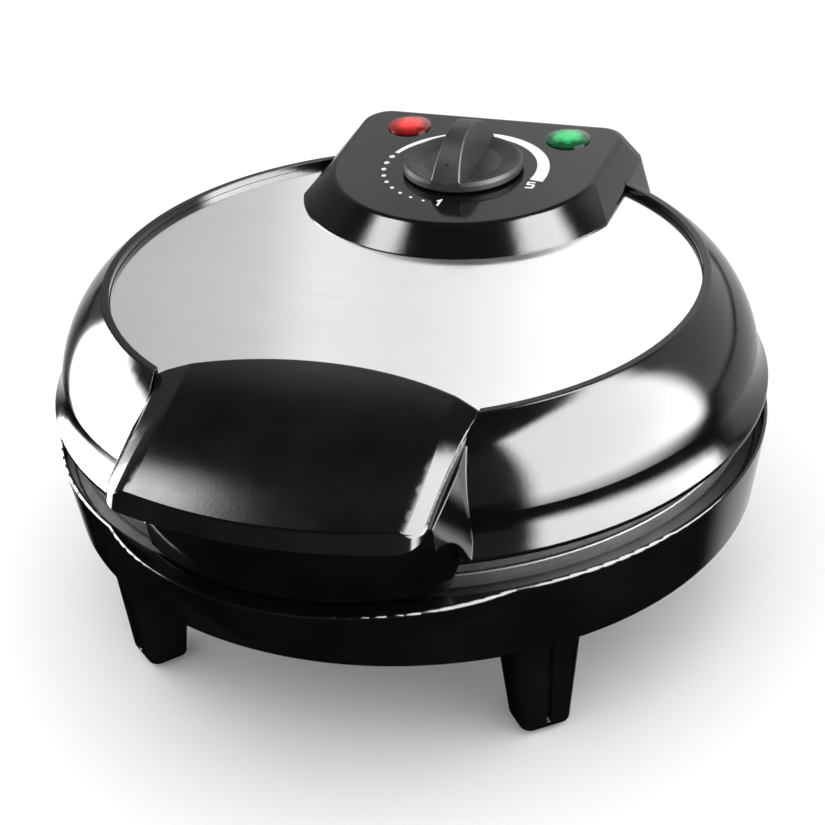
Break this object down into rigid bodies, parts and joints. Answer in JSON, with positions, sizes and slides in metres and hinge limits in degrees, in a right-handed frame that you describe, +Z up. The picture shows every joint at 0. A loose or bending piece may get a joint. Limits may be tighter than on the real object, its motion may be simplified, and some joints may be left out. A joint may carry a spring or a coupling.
{
  "type": "heart waffle maker",
  "caption": "Electric heart waffle maker: round hinged lid with steel inlay, paddle handle, thermostat dial and pilot lamps over a footed base with cast heart plates.",
  "frame": {"origin": "centre of the appliance's footprint box, on the table under the foot pads", "axes": "+Z up; +Y from the handle to the hinge; +X to the right for someone who faces the handle"},
  "size_m": [0.2192, 0.243, 0.1262],
  "materials": {
    "casing": "glossy black",
    "handle": "satin black",
    "dial": "satin black",
    "coated_plate": "dark non-stick coating on cast aluminium",
    "inlay": "polished, faintly brushed",
    "screws": "zinc plated",
    "heater_tube": "heat-tinted",
    "reflector_sheet": "bright sheet",
    "bottom": "fine grain",
    "ceramic": "off-white",
    "phenolic": "brown moulding",
    "fuse": "satin",
    "leads": "sleeved",
    "steel": "plain",
    "print": "white print",
    "lens_red": "faceted, translucent red",
    "lens_green": "faceted, translucent green",
    "lamp_glass": "clear",
    "pads": "soft"
  },
  "bodies": {
    "base": {"base_shell": "casing", "bottom_cover": "bottom", "cover_screws": "screws", "foot_front_left": "casing", "foot_front_right": "casing", "foot_rear_left": "casing", "foot_rear_right": "casing", "foot_pad_front_left": "pads", "foot_pad_front_right": "pads", "foot_pad_rear_left": "pads", "foot_pad_rear_right": "pads", "foot_screws": "screws", "lower_plate": "coated_plate", "lower_plate_screws": "screws", "lower_heater": "heater_tube", "lower_reflector": "reflector_sheet", "lower_reflector_screw": "screws", "terminal_block": "ceramic", "thermal_fuse": "fuse", "base_wiring": "leads", "cord_gland": "bottom", "gland_clip": "bottom", "hinge_pin_left": "steel", "hinge_pin_right": "steel"},
    "lid": {"lid_shell": "casing", "control_housing": "casing", "heat_guard": "casing", "handle_cover": "handle", "handle_underplate": "handle", "upper_plate": "coated_plate", "inlay_plate": "inlay", "upper_plate_screws": "screws", "handle_screws": "screws", "underplate_screws": "screws", "heat_guard_screws": "screws", "housing_screws": "screws", "upper_reflector_screw": "screws", "upper_heater": "heater_tube", "upper_reflector": "reflector_sheet", "thermostat": "phenolic", "lid_wiring": "leads", "thermostat_bracket": "steel", "dial_scale": "print", "lens_red": "lens_red", "lens_green": "lens_green", "lamp_red": "lamp_glass", "lamp_green": "lamp_glass"},
    "knob": {"dial_knob": "dial", "thermostat_spindle": "steel"}
  },
  "joints": [
    {"name": "lid_hinge", "type": "hinge", "parent": "base", "child": "lid", "pos_m": [0, 0.11605, 0.066], "axis": [-1, 0, 0], "range_deg": [0, 95]},
    {"name": "knob_turn", "type": "hinge", "parent": "lid", "child": "knob", "pos_m": [0, 0.06505, 0.111], "axis": [0, 0.0366, -0.9993], "range_deg": [0, 270]}
  ]
}
